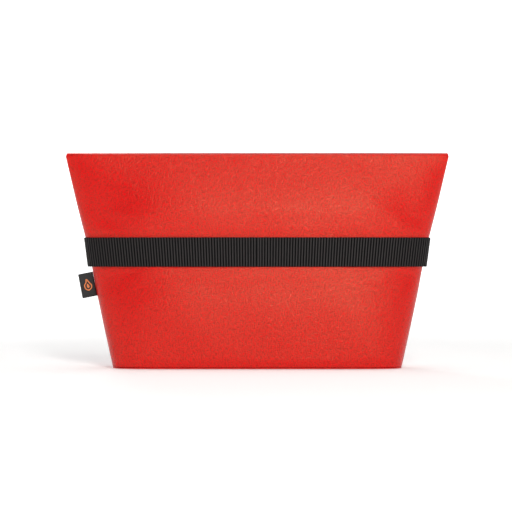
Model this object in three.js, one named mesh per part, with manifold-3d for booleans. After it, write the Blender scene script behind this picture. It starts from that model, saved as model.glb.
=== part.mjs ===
// A folded fire blanket in its soft fold-over pouch, in millimetres.
//
// The pouch is sewn from coated red fabric: a front and a back panel joined by a seam down each side, on a
// boxed base. The front panel folds over the mouth and hangs down the back as a closing flap, held by
// hook-and-loop tape. A black webbing strap is stitched to the back panel, runs round the pouch and closes on
// itself with a peeling tail. The blanket stands folded inside. Its two pull tapes come out over the mouth,
// under the flap.
//
// +X runs to the right along the front, +Y from the front to the back, +Z up. The origin is the middle of
// the base's underside, which is what the pouch stands on.

import * as THREE from "three";
import { mergeVertices } from "three/addons/utils/BufferGeometryUtils.js";
import Module from "manifold-3d";

const wasm = await Module();
wasm.setup();

// ---- Driving dimensions ----

const GAP = 0.3; // clearance between neighbouring pieces
const CLOTH = 0.8; // coated fabric
const WEBBING = 1.4;
const BINDING = 0.6; // edge binding tape
const PULL_TAPE = 1.0;
const HOOK_OR_LOOP = 0.9; // one half of a hook-and-loop pair

const HEIGHT = 222; // floor to the top of the fold
const FOLD_RISE = 4; // the fold's rounding above the panels
const FOLD_Y = 1; // the fold line, where the front panel ends and the flap begins
const FOLD_Z = HEIGHT - FOLD_RISE;
const BASE_HALF_WIDTH = 149;
const SIDE_TAPER = 0.228; // half-width gained for each millimetre of height
const WAIST = { pinch: 1.5, z: 122, reach: 35 }; // where the strap draws the sides in
const BASE_PLATE = 1.2;

// [height, value] stations of the pouch's section: half its depth at the middle, the least half-depth at the
// side seams, and the two powers of the superellipse that rounds the section off towards the seams.
const HALF_DEPTH = [[0, 34], [10, 37], [60, 37], [100, 31.2], [138, 30], [165, 29], [222, 6]];
const SEAM_HALF_DEPTH = [[0, 0.2], [190, 0.2], [222, 1.6]];
const WIDTH_POWER = [[0, 7], [95, 3.4], [140, 3.4], [165, 3.2], [222, 4]];
const DEPTH_POWER = [[0, 4], [95, 2.6], [140, 2.6], [165, 2.2], [222, 1.6]];

const STRAP = { low: 104, high: 134, standOff: 2.7 }; // standOff: how far its lower edge clears the seams
const TAIL_HINGE = 40.5; // degrees round the section from the right seam towards the back
const BAND_END = 85.5; // where the strap's stitched-down end stops
const GRIP_FROM = 105.5; // the tail's end is folded back on itself from here to its end
const TAIL_END = 110.25;
const CLIMB = { from: 76, to: 84 }; // where the tail rises from the pouch to lie over the closure
const PATCH = { from: 87.5, to: 103.5 }; // the strap's hook-and-loop closure
const ANCHOR = { from: 113.5, to: 124, thread: 0.5 }; // the stitched box that holds the strap to the pouch
const TAIL_LIFT = WEBBING + 2 * HOOK_OR_LOOP + 4 * GAP; // the tail rides this far up over the closure

const MOUTH_Z = 212; // top edge of the back panel
const FLAP = {
  topHalf: 196,
  edgeTop: 215, // where its side edges start, just under the fold
  freeZ: 172,
  lowHalf: 168,
  corner: 14,
  cornerFlare: 4, // how much wider it is at the top of a rounded corner than at the bottom
  lift: 2 * HOOK_OR_LOOP + 3 * GAP,
};
const FLAP_CLOSURE = { halfLength: 60, low: 177, high: 197 };
const TAPE = { x: 95, width: 25, top: 167.7, bottom: 138, overBlanket: 2 }; // top: where they leave the flap

const BLANKET = { halfLength: 128.5, halfDepth: 22, height: 163, corner: 5 };
const LABEL = { z: 86.5, width: 15, length: 25.4, thickness: 1.3, ply: 0.45, rootGap: 0.9 };

const SECTION_STEPS = 40; // facets from one side seam to the other

// ---- The pouch's shape ----

const { PI, abs, cos, sin, sign, exp } = Math;
const radians = THREE.MathUtils.degToRad;
const mix = THREE.MathUtils.lerp;

// Straight-line value between stations.
function between(stations, z) {
  const i = THREE.MathUtils.clamp(stations.findIndex((s) => s[0] >= z), 1, stations.length - 1);
  const [[z0, a], [z1, b]] = [stations[i - 1], stations[i]];
  return mix(a, b, THREE.MathUtils.clamp((z - z0) / (z1 - z0), 0, 1));
}

// Smooth value through stations: cubic pieces whose slope at a station is that between its neighbours.
function through(stations, z) {
  const last = stations.length - 1;
  const i = THREE.MathUtils.clamp(stations.findIndex((s) => s[0] >= z), 1, last);
  const slope = (k) => {
    const [a, b] = [stations[Math.max(k - 1, 0)], stations[Math.min(k + 1, last)]];
    return (b[1] - a[1]) / (b[0] - a[0]);
  };
  const [[z0, a], [z1, b]] = [stations[i - 1], stations[i]];
  const h = z1 - z0;
  const t = (z - z0) / h;
  const start = (1 + 2 * t) * (1 - t) ** 2 * a + t * (1 - t) ** 2 * h * slope(i - 1);
  return start + t * t * (3 - 2 * t) * b + t * t * (t - 1) * h * slope(i);
}

const halfWidth = (z) =>
  BASE_HALF_WIDTH + SIDE_TAPER * z - WAIST.pinch * exp(-(((z - WAIST.z) / WAIST.reach) ** 2));

// Half the depth of the pouch's outside at a place on its front or back.
function depthAt(x, z) {
  const seam = between(SEAM_HALF_DEPTH, z);
  const rest = Math.max(0, 1 - abs(x / halfWidth(z)) ** between(WIDTH_POWER, z));
  return seam + (through(HALF_DEPTH, z) - seam) * rest ** (1 / between(DEPTH_POWER, z));
}

// A point on half a superellipse, from angle 0 on its right to PI on its left.
function onArch(angle, halfX, halfY, widthPower, depthPower) {
  const [c, s] = [cos(angle), Math.max(0, sin(angle))];
  return [sign(c) * halfX * abs(c) ** (2 / widthPower), halfY * s ** (2 / depthPower)];
}

// A point of the pouch's back half at a height, offset outwards from the fabric's outer face. The angle runs
// from 0 at the right seam to PI at the left one. The front half is the mirror image in Y.
function onPouch(angle, z, offset) {
  const seam = between(SEAM_HALF_DEPTH, z);
  const halfX = halfWidth(z) + offset;
  const halfY = through(HALF_DEPTH, z) + offset - seam;
  const [x, y] = onArch(angle, halfX, halfY, between(WIDTH_POWER, z), between(DEPTH_POWER, z));
  return [x, y + seam];
}

// ---- Making solids ----

// A closed sheet: place(u, v, w) gives a point for u, v and w from 0 to 1, right-handed, with w through its
// thickness.
function sheet(uSteps, vSteps, place) {
  const geometry = new THREE.BoxGeometry(1, 1, 1, uSteps, vSteps, 1);
  const position = geometry.getAttribute("position");
  for (let i = 0; i < position.count; i++) {
    const p = place(position.getX(i) + 0.5, position.getY(i) + 0.5, position.getZ(i) + 0.5);
    position.setXYZ(i, ...p);
  }
  return geometry;
}

function toSolid(geometry) {
  const bare = geometry.clone().deleteAttribute("normal").deleteAttribute("uv");
  const merged = mergeVertices(bare, 1e-4);
  const vertProperties = merged.getAttribute("position").array;
  return new wasm.Manifold(
    new wasm.Mesh({ numProp: 3, vertProperties, triVerts: new Uint32Array(merged.index.array) }),
  );
}

function toGeometry(solid) {
  const mesh = solid.getMesh();
  const geometry = new THREE.BufferGeometry();
  geometry.setAttribute("position", new THREE.BufferAttribute(new Float32Array(mesh.vertProperties), 3));
  geometry.setIndex(new THREE.BufferAttribute(mesh.triVerts, 1));
  geometry.computeVertexNormals();
  return geometry;
}

const material = (color, roughness) => new THREE.MeshStandardMaterial({ color, roughness, metalness: 0 });
const RED_FABRIC = material("#dc3a34", 0.55);
const BLACK_WEBBING = material("#232021", 0.8);
const BLACK_TAPE = material("#1c1a1a", 0.85);
const CLOSURE = material("#19181a", 0.95);
const LABEL_CLOTH = material("#201d1d", 0.7);
const GLASS_CLOTH = material("#e9e6dc", 0.75);
const THREAD = material("#2b292a", 0.6);

const blanketInPouch = new THREE.Group();

function add(name, geometry, finish) {
  const mesh = new THREE.Mesh(geometry, finish);
  mesh.name = name;
  blanketInPouch.add(mesh);
  return mesh;
}

// ---- Pouch ----

const PANEL_FOOT = BASE_PLATE + GAP;
const FOLD_SHARE = 0.2; // share of a sheet's rows that its half of the fold takes

// A point of the fold above y at FOLD_Z: turn runs from 0 there to a quarter turn at the fold line.
function onFold(y, lineY, turn, depthInCloth) {
  return [lineY + (y - lineY) * cos(turn), FOLD_Z + (FOLD_RISE - depthInCloth) * sin(turn)];
}

// The front panel rises from the base and turns in over the mouth as far as the fold line.
add(
  "front_panel",
  sheet(SECTION_STEPS, 20, (u, v, w) => {
    const inward = (1 - w) * CLOTH;
    const rise = v / (1 - FOLD_SHARE);
    const z = mix(PANEL_FOOT, FOLD_Z, Math.min(rise, 1));
    const [x, y] = onPouch((1 - u) * PI, z, -inward);
    if (rise <= 1) return [x, -y, z];
    const turn = ((v - (1 - FOLD_SHARE)) / FOLD_SHARE) * (PI / 2);
    return [x, ...onFold(-y, FOLD_Y - GAP / 2, turn, inward)];
  }),
  RED_FABRIC,
);

add(
  "back_panel",
  sheet(SECTION_STEPS, 16, (u, v, w) => {
    const z = mix(PANEL_FOOT, MOUTH_Z, v);
    return [...onPouch(u * PI, z, (w - 1) * CLOTH), z];
  }),
  RED_FABRIC,
);

// The outline of the pouch's base, as a shape in X and Y.
function baseOutline(offset) {
  const back = [];
  const front = [];
  for (let i = 0; i <= SECTION_STEPS; i++) {
    const [x, y] = onPouch((i / SECTION_STEPS) * PI, PANEL_FOOT, offset);
    back.push(new THREE.Vector2(x, y));
    front.unshift(new THREE.Vector2(x, -y));
  }
  return [...back, ...front];
}

add(
  "base_panel",
  new THREE.ExtrudeGeometry(new THREE.Shape(baseOutline(0)), { depth: BASE_PLATE, bevelEnabled: false }),
  RED_FABRIC,
);

// Binding round the base seam, inside.
const BASE_BINDING = { height: 7, thickness: 1.6 };
const ring = new THREE.Shape(baseOutline(-CLOTH - GAP));
ring.holes.push(new THREE.Path(baseOutline(-CLOTH - GAP - BASE_BINDING.thickness)));
add(
  "base_seam_binding",
  new THREE.ExtrudeGeometry(ring, { depth: BASE_BINDING.height, bevelEnabled: false }),
  BLACK_TAPE,
).position.z = PANEL_FOOT;

// Binding round each side seam's allowance, inside.
const SIDE_BINDING = { low: 12, high: 198, reach: 9, halfThickness: 1 };
for (const side of [-1, 1]) {
  add(
    side < 0 ? "left_seam_binding" : "right_seam_binding",
    sheet(1, 10, (u, v, w) => {
      const z = mix(SIDE_BINDING.low, SIDE_BINDING.high, v);
      const across = side < 0 ? u : 1 - u;
      const x = side * (halfWidth(z) - CLOTH - GAP - SIDE_BINDING.reach * across);
      return [x, SIDE_BINDING.halfThickness * (1 - 2 * w), z];
    }),
    BLACK_TAPE,
  );
}

// A strip folded over the back panel's top edge. Its middle runs up at one offset from the panel's outer
// face, turns over the edge and runs down at the other. Each leg and the turn take a third of its steps.
function overMouth({ inside, insideZ, outside, outsideZ, fromX, toX, legSteps, xSteps, thickness }) {
  const middle = (inside + outside) / 2;
  return sheet(3 * legSteps, xSteps, (u, v, w) => {
    const turn = THREE.MathUtils.clamp(3 * u - 1, 0, 1) * PI;
    const reach = (outside - inside) / 2 + (w - 0.5) * thickness;
    const rising = mix(insideZ, MOUTH_Z, 3 * u);
    const falling = mix(MOUTH_Z, outsideZ, Math.max(3 * u - 2, 0));
    const z = (3 * u < 1 ? rising : falling) + reach * sin(turn);
    const x = mix(toX, fromX, v);
    return [x, depthAt(x, z) + middle - reach * cos(turn), z];
  });
}

const MOUTH_BINDING = { drop: 9, halfLength: 183 };
add(
  "mouth_binding",
  overMouth({
    inside: -CLOTH - GAP - BINDING / 2,
    insideZ: MOUTH_Z - MOUTH_BINDING.drop,
    outside: GAP + BINDING / 2,
    outsideZ: MOUTH_Z - MOUTH_BINDING.drop,
    fromX: -MOUTH_BINDING.halfLength,
    toX: MOUTH_BINDING.halfLength,
    legSteps: 4,
    xSteps: 26,
    thickness: BINDING,
  }),
  BLACK_TAPE,
);

// One half of the flap's hook-and-loop closure, between two offsets from the back panel.
function flapClosure(from, to) {
  return sheet(8, 2, (u, v, w) => {
    const x = FLAP_CLOSURE.halfLength * (1 - 2 * u);
    const z = mix(FLAP_CLOSURE.low, FLAP_CLOSURE.high, v);
    return [x, depthAt(x, z) + mix(from, to, w), z];
  });
}

add("pouch_loop_strip", flapClosure(GAP, GAP + HOOK_OR_LOOP), CLOSURE);

// ---- Strap ----

// A point on the strap: h runs from its lower to its upper edge, offset outwards from the pouch's fabric.
function onStrap(degrees, h, offset) {
  const halfX = mix(halfWidth(STRAP.low) + STRAP.standOff, halfWidth(STRAP.high), h);
  const halfY = mix(through(HALF_DEPTH, STRAP.low), through(HALF_DEPTH, STRAP.high), h);
  const powers = [between(WIDTH_POWER, STRAP.low), between(DEPTH_POWER, STRAP.low)];
  const inFront = degrees > 180 && degrees < 360;
  const angle = radians(inFront ? 360 - degrees : degrees % 360);
  const [x, y] = onArch(angle, halfX + offset, halfY + offset, ...powers);
  return [x, inFront ? -y : y, mix(STRAP.low, STRAP.high, h)];
}

const HINGE_GAP = 0.23; // degrees round the section that open the clearance between band and tail

// A run of webbing or tape along the strap. lift(degrees) is the offset of its inner face.
function strapRun(from, to, steps, low, high, thickness, lift) {
  return sheet(steps, 1, (u, v, w) => {
    const degrees = mix(from, to, u);
    return onStrap(degrees, mix(low, high, v), lift(degrees) + w * thickness);
  });
}

const BAND_STEPS = 70;
add(
  "strap_band",
  strapRun(BAND_END, 360 + TAIL_HINGE - HINGE_GAP / 2, BAND_STEPS, 0, 1, WEBBING, () => GAP),
  BLACK_WEBBING,
);

const PATCH_MARGIN = 0.08; // share of the strap's width that the patches leave free at each edge
const onBand = 2 * GAP + WEBBING;
const onLoop = onBand + HOOK_OR_LOOP + GAP;
const patchRun = (lift) =>
  strapRun(PATCH.from, PATCH.to, 6, PATCH_MARGIN, 1 - PATCH_MARGIN, HOOK_OR_LOOP, () => lift);
add("band_loop_patch", patchRun(onBand), CLOSURE);
add("tail_hook_patch", patchRun(onLoop), CLOSURE);

// The tail starts flat on the pouch, climbs over the strap's stitched end and ends in a thicker folded grip.
const tailLift = (degrees) => GAP + TAIL_LIFT * THREE.MathUtils.smoothstep(degrees, CLIMB.from, CLIMB.to);
add(
  "strap_tail",
  strapRun(TAIL_HINGE + HINGE_GAP / 2, TAIL_END, 31, 0, 1, WEBBING, tailLift),
  BLACK_WEBBING,
);
add(
  "tail_end_fold",
  strapRun(GRIP_FROM, TAIL_END - HINGE_GAP, 3, 0, 1, WEBBING, (at) => tailLift(at) + WEBBING + GAP),
  BLACK_WEBBING,
);

// The box and cross of thread that hold the strap's end to the back panel.
const THREAD_HALF = 0.03; // half a thread row, as a share of the strap's width
const THREAD_DEGREES = 0.35; // half a thread row, round the section
const BOX_MARGIN = 0.12;
function threadRow(fromDegrees, fromH, toDegrees, toH) {
  const upright = fromDegrees === toDegrees;
  return toSolid(
    sheet(upright ? 1 : 6, upright ? 6 : 1, (u, v, w) => {
      const along = upright ? v : u;
      const degrees = mix(fromDegrees, toDegrees, along) + (upright ? (2 * u - 1) * THREAD_DEGREES : 0);
      const h = mix(fromH, toH, along) + (upright ? 0 : (2 * v - 1) * THREAD_HALF);
      return onStrap(degrees, h, GAP + WEBBING + GAP + w * ANCHOR.thread);
    }),
  );
}
const [near, far] = [BOX_MARGIN, 1 - BOX_MARGIN];
const stitchBox = [
  threadRow(ANCHOR.from, near, ANCHOR.to, near),
  threadRow(ANCHOR.from, far, ANCHOR.to, far),
  threadRow(ANCHOR.from, near - THREAD_HALF, ANCHOR.from, far + THREAD_HALF),
  threadRow(ANCHOR.to, near - THREAD_HALF, ANCHOR.to, far + THREAD_HALF),
  threadRow(ANCHOR.from, near, ANCHOR.to, far),
  threadRow(ANCHOR.from, far, ANCHOR.to, near),
].reduce((joined, row) => joined.add(row));
add("strap_anchor_stitch", toGeometry(stitchBox), THREAD);

// ---- Flap ----

// The flap's free edge, as a path in X and Z from its right end to its left end.
const FLAP_STEPS = 30;
const FLAP_FOLD_SHARE = 4 / 9;
const point = (x, z) => new THREE.Vector2(x, z);
const topEnd = (side) => point(side * FLAP.topHalf, FLAP.edgeTop);
const cornerTop = (side) => point(side * (FLAP.lowHalf + FLAP.cornerFlare), FLAP.freeZ + FLAP.corner);
const cornerTip = (side) => point(side * FLAP.lowHalf, FLAP.freeZ);
const cornerEnd = (side) => point(side * (FLAP.lowHalf - FLAP.corner), FLAP.freeZ);
const freeEdge = new THREE.CurvePath();
freeEdge.add(new THREE.LineCurve(topEnd(1), cornerTop(1)));
freeEdge.add(new THREE.QuadraticBezierCurve(cornerTop(1), cornerTip(1), cornerEnd(1)));
freeEdge.add(new THREE.LineCurve(cornerEnd(1), cornerEnd(-1)));
freeEdge.add(new THREE.QuadraticBezierCurve(cornerEnd(-1), cornerTip(-1), cornerTop(-1)));
freeEdge.add(new THREE.LineCurve(cornerTop(-1), topEnd(-1)));

add(
  "closing_flap",
  sheet(FLAP_STEPS, 9, (u, v, w) => {
    const low = freeEdge.getPointAt(u);
    const rise = Math.min(v / (1 - FLAP_FOLD_SHARE), 1);
    const x = mix(low.x, FLAP.topHalf * (1 - 2 * u), rise);
    const z = mix(low.y, FOLD_Z, rise);
    const y = depthAt(x, z) + FLAP.lift + w * CLOTH;
    if (rise < 1) return [x, y, z];
    const turn = ((v - (1 - FLAP_FOLD_SHARE)) / FLAP_FOLD_SHARE) * (PI / 2);
    return [x, ...onFold(y, FOLD_Y + GAP / 2, turn, (1 - w) * CLOTH)];
  }),
  RED_FABRIC,
);

// Binding tape along the free edge, standing a little proud of the flap on both faces.
const FLAP_BINDING = { width: 3, proud: 0.2 };
add(
  "flap_binding",
  sheet(FLAP_STEPS - 2, 1, (u, v, w) => {
    const s = mix(1, FLAP_STEPS - 1, u) / FLAP_STEPS;
    const at = freeEdge.getPointAt(s);
    const tangent = freeEdge.getTangentAt(s);
    const out = GAP + (1 - v) * FLAP_BINDING.width;
    const [x, z] = [at.x - tangent.y * out, at.y + tangent.x * out];
    const y = depthAt(x, z) + FLAP.lift + mix(-FLAP_BINDING.proud, CLOTH + FLAP_BINDING.proud, w);
    return [x, y, z];
  }),
  BLACK_TAPE,
);

add("flap_hook_strip", flapClosure(2 * GAP + HOOK_OR_LOOP, FLAP.lift - GAP), CLOSURE);

// ---- Blanket and its pull tapes ----

const half = { x: BLANKET.halfLength, y: BLANKET.halfDepth, r: BLANKET.corner };
const bundle = new THREE.Shape();
bundle.moveTo(half.x, half.r - half.y);
bundle.lineTo(half.x, half.y - half.r);
bundle.absarc(half.x - half.r, half.y - half.r, half.r, 0, PI / 2);
bundle.absarc(half.r - half.x, half.y - half.r, half.r, PI / 2, PI);
bundle.absarc(half.r - half.x, half.r - half.y, half.r, PI, 1.5 * PI);
bundle.absarc(half.x - half.r, half.r - half.y, half.r, 1.5 * PI, 2 * PI);
add(
  "folded_blanket",
  new THREE.ExtrudeGeometry(bundle, { depth: BLANKET.height, bevelEnabled: false, curveSegments: 4 }),
  GLASS_CLOTH,
).position.z = PANEL_FOOT;

const tapeOutside = 2 * GAP + BINDING + PULL_TAPE / 2;
for (const side of [-1, 1]) {
  const word = side < 0 ? "left" : "right";
  const [fromX, toX] = [side * TAPE.x - TAPE.width / 2, side * TAPE.x + TAPE.width / 2];
  add(
    `pull_tape_${word}`,
    overMouth({
      inside: -CLOTH - tapeOutside,
      insideZ: PANEL_FOOT + BLANKET.height + TAPE.overBlanket,
      outside: tapeOutside,
      outsideZ: TAPE.top + GAP,
      fromX,
      toX,
      legSteps: 8,
      xSteps: 2,
      thickness: PULL_TAPE,
    }),
    BLACK_TAPE,
  );
  add(
    `pull_tab_${word}`,
    sheet(2, 4, (u, v, w) => {
      const [x, z] = [mix(toX, fromX, u), mix(TAPE.bottom, TAPE.top, v)];
      return [x, depthAt(x, z) + tapeOutside + (w - 0.5) * PULL_TAPE, z];
    }),
    BLACK_TAPE,
  );
}

// ---- Side label ----

// A folded label: two plies that meet in a round fold at the outer edge. Local x points out of the seam.
const ply = { out: LABEL.thickness / 2, in: LABEL.thickness / 2 - LABEL.ply };
const foldX = LABEL.width - ply.out;
const folded = new THREE.Shape();
folded.moveTo(0, -ply.out);
folded.lineTo(foldX, -ply.out);
folded.absarc(foldX, 0, ply.out, -PI / 2, PI / 2);
folded.lineTo(0, ply.out);
folded.lineTo(0, ply.in);
folded.lineTo(foldX, ply.in);
folded.absarc(foldX, 0, ply.in, PI / 2, -PI / 2, true);
folded.lineTo(0, -ply.in);
const labelMesh = add(
  "side_label",
  new THREE.ExtrudeGeometry(folded, { depth: LABEL.length, bevelEnabled: false, curveSegments: 6 }),
  LABEL_CLOTH,
);
const [labelLow, labelHigh] = [LABEL.z - LABEL.length / 2, LABEL.z + LABEL.length / 2];
const seamSlope = (halfWidth(labelHigh) - halfWidth(labelLow)) / LABEL.length;
const seamDown = new THREE.Vector3(seamSlope, 0, -1).normalize();
const outward = new THREE.Vector3(-1, 0, -seamSlope).normalize();
const across = new THREE.Vector3().crossVectors(seamDown, outward);
labelMesh.quaternion.setFromRotationMatrix(new THREE.Matrix4().makeBasis(outward, across, seamDown));
labelMesh.position
  .set(-halfWidth(LABEL.z), 0, LABEL.z)
  .addScaledVector(outward, LABEL.rootGap)
  .addScaledVector(seamDown, -LABEL.length / 2);

export default blanketInPouch;
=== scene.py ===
"""The looks of a folded fire blanket in its soft fold-over pouch.

Lengths are in millimetres until a mesh is made. The pouch's shape is given by the same formulas as the CAD
solids, so every piece lies where its solid is. Panels, straps and tapes are all shells: a middle surface
with a thickness.
"""

import math

import bpy
import numpy as np
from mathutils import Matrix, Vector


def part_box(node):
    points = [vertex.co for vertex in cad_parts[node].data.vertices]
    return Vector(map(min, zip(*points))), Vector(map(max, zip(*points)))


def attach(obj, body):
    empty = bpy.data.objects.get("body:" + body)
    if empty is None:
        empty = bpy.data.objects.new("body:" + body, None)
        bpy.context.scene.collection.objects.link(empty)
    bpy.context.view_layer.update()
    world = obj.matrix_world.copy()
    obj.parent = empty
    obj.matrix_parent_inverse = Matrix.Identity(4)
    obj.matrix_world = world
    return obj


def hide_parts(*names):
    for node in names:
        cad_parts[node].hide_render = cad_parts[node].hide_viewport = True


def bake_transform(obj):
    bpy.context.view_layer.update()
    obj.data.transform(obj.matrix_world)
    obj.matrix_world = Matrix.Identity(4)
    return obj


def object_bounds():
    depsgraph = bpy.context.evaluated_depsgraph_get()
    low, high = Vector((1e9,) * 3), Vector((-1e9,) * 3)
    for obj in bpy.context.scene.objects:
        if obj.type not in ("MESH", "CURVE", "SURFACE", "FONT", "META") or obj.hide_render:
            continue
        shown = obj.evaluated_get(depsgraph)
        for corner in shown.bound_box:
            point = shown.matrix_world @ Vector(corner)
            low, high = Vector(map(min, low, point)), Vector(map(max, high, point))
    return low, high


MM = 0.001
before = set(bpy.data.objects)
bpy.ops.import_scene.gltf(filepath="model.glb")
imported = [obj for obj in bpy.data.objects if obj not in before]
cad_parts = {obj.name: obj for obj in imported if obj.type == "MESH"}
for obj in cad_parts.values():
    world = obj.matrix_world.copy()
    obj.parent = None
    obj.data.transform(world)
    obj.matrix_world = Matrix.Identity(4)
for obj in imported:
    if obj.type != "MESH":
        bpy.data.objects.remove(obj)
cad_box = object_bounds()


def box_mm(node):
    """The lowest and highest corner of a CAD node, in millimetres."""
    low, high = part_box(node)
    return np.array(low) / MM, np.array(high) / MM


# ---- Driving dimensions ----

# Thicknesses, and the gap between cloth surfaces that lie on each other.
CLOTH = 0.8
WEBBING = 1.4
BINDING = 0.6
PULL_TAPE = 1.0
CLOSURE_TAPE = 0.9
TOUCH = 0.08

HEIGHT = box_mm("front_panel")[1][2]
FOLD_RISE = 4  # the fold over the mouth turns about FOLD_Y, FOLD_Z
FOLD_Z = HEIGHT - FOLD_RISE
FOLD_Y = 1
PANEL_FOOT = box_mm("front_panel")[0][2]
MOUTH_Z = box_mm("back_panel")[1][2]
STRAP_LOW, STRAP_HIGH = box_mm("strap_band")[0][2], box_mm("strap_band")[1][2]
STRAP_STAND_OFF = 2.7  # of the strap's lower edge at the sides, where the pouch narrows away from it
STRAP_GAP = TOUCH + 0.2  # from the pouch's fabric to the strap's inner face
RIB_PITCH, RIB_DEPTH = 2.83, 0.95

BASE_HALF_WIDTH = 149
SIDE_TAPER = 0.228
WAIST_PINCH, WAIST_Z, WAIST_REACH = 1.5, 122, 35
# Stations of (height, value): the section's half-depth in its middle and at its seams, and how square it is
# across its width and its depth.
HALF_DEPTH = ((0, 34), (10, 37), (60, 37), (100, 31.2), (138, 30), (165, 29), (222, 6))
SEAM_HALF_DEPTH = ((0, 0.2), (190, 0.2), (222, 1.6))
WIDTH_POWER = ((0, 7), (95, 3.4), (140, 3.4), (165, 3.2), (222, 4))
DEPTH_POWER = ((0, 4), (95, 2.6), (140, 2.6), (165, 2.2), (222, 1.6))

FLAP_LIFT = 2.7  # from the back panel's outer face to the flap's inner face
FLAP_TOP_HALF, FLAP_LOW_HALF, FLAP_CORNER, FLAP_FREE_Z = 196, 168, 14, 172
FLAP_EDGE = 2.4  # how far the cloth runs on inside its edge binding
FLAP_WAVE_LIFT = 0.75  # of the free edge, over the pull tapes under it
EDGE_TAPE_REACH = 6.5  # of the edge binding, inwards from the free edge

# Places along the strap, in degrees round its section from the right seam towards the back.
TAIL_HINGE = 40.5
BAND_END, TAIL_END, GRIP_FROM = 85.5, 110.25, 104.5
PATCH_FROM, PATCH_TO = 87.5, 103.5
CLIMB_FROM, CLIMB_TO = 76, 84
ANCHOR_FROM, ANCHOR_TO = 113.5, 124
TAIL_LIFT = 4.4  # from the band's level to the tail's, past the climb

PULL_TAB_X, PULL_HINGE_Z = 95, 168.5
PULL_TAPE_GAP = 0.35
TAB_HEM = 11

LABEL_Z, LABEL_WIDTH, LABEL_LENGTH = 86.5, 15.9, 25.4
LABEL_PLY, LABEL_THICK = 0.45, 1.3

BLANKET_SIDE, BLANKET_CLOTH = 1800, 0.36
FOLDS_ACROSS, FOLDS_ALONG = 7, 11

rng = np.random.default_rng(7)


# ---- The pouch's shape ----


def between(stations, z):
    """Straight-line value between (height, value) stations."""
    heights, values = np.array(stations, float).T
    return np.interp(z, heights, values)


def through(stations, z):
    """Smooth value through stations, as cubic pieces."""
    x, y = np.array(stations, float).T
    slope = np.gradient(y, x)
    slope[1:-1] = (y[2:] - y[:-2]) / (x[2:] - x[:-2])
    i = np.clip(np.searchsorted(x, z), 1, len(x) - 1)
    h = x[i] - x[i - 1]
    t = (z - x[i - 1]) / h
    start = (1 + 2 * t) * (1 - t) ** 2 * y[i - 1] + t * (1 - t) ** 2 * h * slope[i - 1]
    return start + t * t * (3 - 2 * t) * y[i] + t * t * (t - 1) * h * slope[i]


def smooth(x, low, high):
    """0 below low, 1 above high and a smooth step between."""
    t = np.clip((x - low) / (high - low), 0, 1)
    return t * t * (3 - 2 * t)


def hump(x, middle, reach):
    """1 at the middle, falling smoothly to 0 on both sides."""
    return np.exp(-(((x - middle) / reach) ** 2))


def half_width(z):
    return BASE_HALF_WIDTH + SIDE_TAPER * z - WAIST_PINCH * hump(z, WAIST_Z, WAIST_REACH)


def arch(share, z, offset):
    """X and the half-depth of the pouch's section at a share, -1 to 1, of its half-width."""
    seam = between(SEAM_HALF_DEPTH, z)
    rest = np.clip(1 - np.abs(share) ** between(WIDTH_POWER, z), 0, 1)
    deep = through(HALF_DEPTH, z) + offset - seam
    return (half_width(z) + offset) * share, seam + deep * rest ** (1 / between(DEPTH_POWER, z))


def depth_at(x, z):
    return arch(np.clip(x / half_width(z), -1, 1), z, 0)[1]


def on_back(x, offset, z):
    """A point at an offset behind the back panel's outer face."""
    x, offset, z = np.broadcast_arrays(*(np.asarray(a, float) for a in (x, offset, z)))
    return np.stack([x, depth_at(x, z) + offset, z], -1)


# ---- Making meshes ----


def arc_lengths(points, axis):
    """Distance along the rows or columns of a grid of points."""
    steps = np.linalg.norm(np.diff(points, axis=axis), axis=-1)
    zero = np.zeros_like(np.take(steps, [0], axis=axis))
    return np.cumsum(np.concatenate([zero, steps], axis=axis), axis=axis)


def unit(v):
    return v / np.maximum(np.linalg.norm(v, axis=-1, keepdims=True), 1e-12)


def grid_normals(points):
    return unit(np.cross(np.gradient(points, axis=0), np.gradient(points, axis=1)))


def rim_factor(distance, radius):
    """How thick a round-edged sheet is, as a share of its full thickness, near its edge."""
    near = np.minimum(distance, distance.max() - distance)
    t = np.clip(near / radius, 0, 1)
    return np.sqrt(np.clip(1 - (1 - t) ** 2, 0.12, 1))


def shell(points, thickness, rim=None):
    """Vertices, faces and cloth coordinates of a closed sheet round a grid of points."""
    n, m = points.shape[:2]
    along = arc_lengths(points, 0)
    across = arc_lengths(points, 1)
    rim = rim if rim else np.max(thickness) * 0.5
    factor = rim_factor(along.mean(1), rim)[:, None] * rim_factor(across.mean(0), rim)[None]
    half = grid_normals(points) * (np.asarray(thickness) * factor / 2)[..., None]
    vertices = np.concatenate([(points + half).reshape(-1, 3), (points - half).reshape(-1, 3)])
    index = np.arange(n * m).reshape(n, m)
    quads = np.stack([index[:-1, :-1], index[1:, :-1], index[1:, 1:], index[:-1, 1:]], -1).reshape(-1, 4)
    rim_loop = np.concatenate([index[:, 0], index[-1, 1:], index[-2::-1, -1], index[0, -2:0:-1]])
    ahead = np.roll(rim_loop, -1)
    sides = np.stack([rim_loop, rim_loop + n * m, ahead + n * m, ahead], -1)
    faces = np.concatenate([quads, quads[:, ::-1] + n * m, sides])
    coordinates = np.stack([along, across, np.zeros_like(along)], -1).reshape(-1, 3)
    return vertices, faces, np.concatenate([coordinates, coordinates])


def signed_volume(vertices, faces):
    a, b, c, d = (vertices[faces[:, i]] for i in range(4))
    return (np.cross(a, b) * c).sum() + (np.cross(a, c) * d).sum()


def in_scene(name, data):
    made = bpy.data.objects.new(name, data)
    bpy.context.scene.collection.objects.link(made)
    return made


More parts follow.
